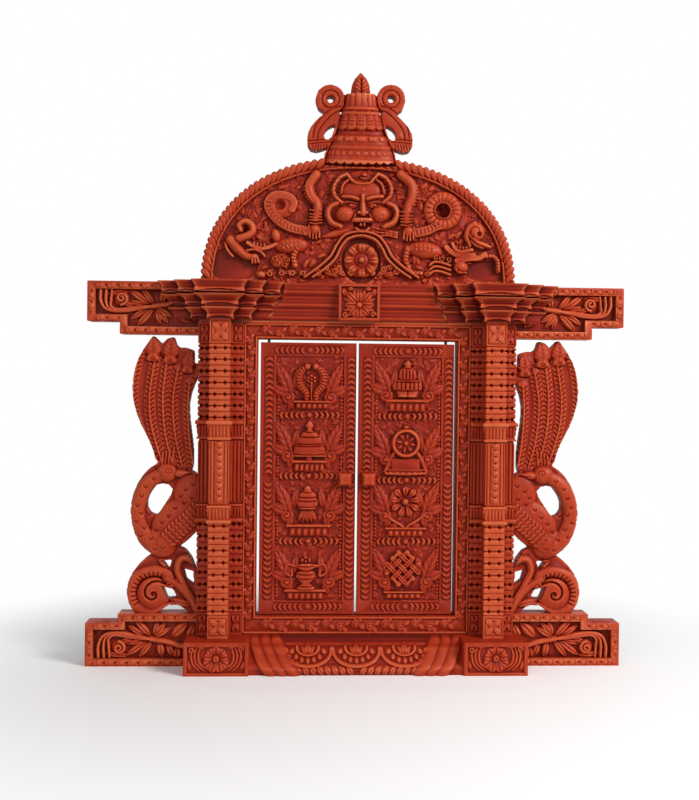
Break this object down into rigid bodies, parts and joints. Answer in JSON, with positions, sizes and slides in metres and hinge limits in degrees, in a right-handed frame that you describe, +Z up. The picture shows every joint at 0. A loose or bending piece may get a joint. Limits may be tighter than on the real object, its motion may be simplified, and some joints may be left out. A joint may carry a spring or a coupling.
{
  "type": "carved wooden window",
  "caption": "Carved hardwood window with a pair of opening shutters, banded columns, bird brackets, stepped beams and an arched crest with a finial.",
  "frame": {"origin": "middle of the foot of the window, on the surface it stands on", "axes": "+Z up, +X to the right of someone facing the window, +Y towards the wall behind it"},
  "size_m": [0.406, 0.044, 0.4505],
  "materials": {
    "carved_wood": "reddish brown stain with darker recesses under a satin lacquer",
    "iron": "dark hand-made nails"
  },
  "bodies": {
    "frame": {"apron": "carved_wood", "crest": "carved_wood", "finial": "carved_wood", "foot_rail": "carved_wood", "head_rail": "carved_wood", "left_bird": "carved_wood", "left_capital": "carved_wood", "left_cornice": "carved_wood", "left_front_column": "carved_wood", "left_jamb": "carved_wood", "left_lower_pin": "iron", "left_pedestal": "carved_wood", "left_post": "carved_wood", "left_upper_pin": "iron", "lintel_beam": "carved_wood", "lotus_block": "carved_wood", "right_bird": "carved_wood", "right_capital": "carved_wood", "right_cornice": "carved_wood", "right_front_column": "carved_wood", "right_jamb": "carved_wood", "right_lower_pin": "iron", "right_pedestal": "carved_wood", "right_post": "carved_wood", "right_upper_pin": "iron", "sill_beam": "carved_wood"},
    "left_leaf": {"left_shutter": "carved_wood", "left_knob": "carved_wood"},
    "right_leaf": {"right_shutter": "carved_wood", "right_knob": "carved_wood"}
  },
  "joints": [
    {"name": "left_shutter_swing", "type": "hinge", "parent": "frame", "child": "left_leaf", "pos_m": [-0.0675, 0.013, 0.142], "axis": [0, 0, -1], "range_deg": [0, 95]},
    {"name": "right_shutter_swing", "type": "hinge", "parent": "frame", "child": "right_leaf", "pos_m": [0.0675, 0.013, 0.142], "axis": [0, 0, 1], "range_deg": [0, 95]}
  ]
}
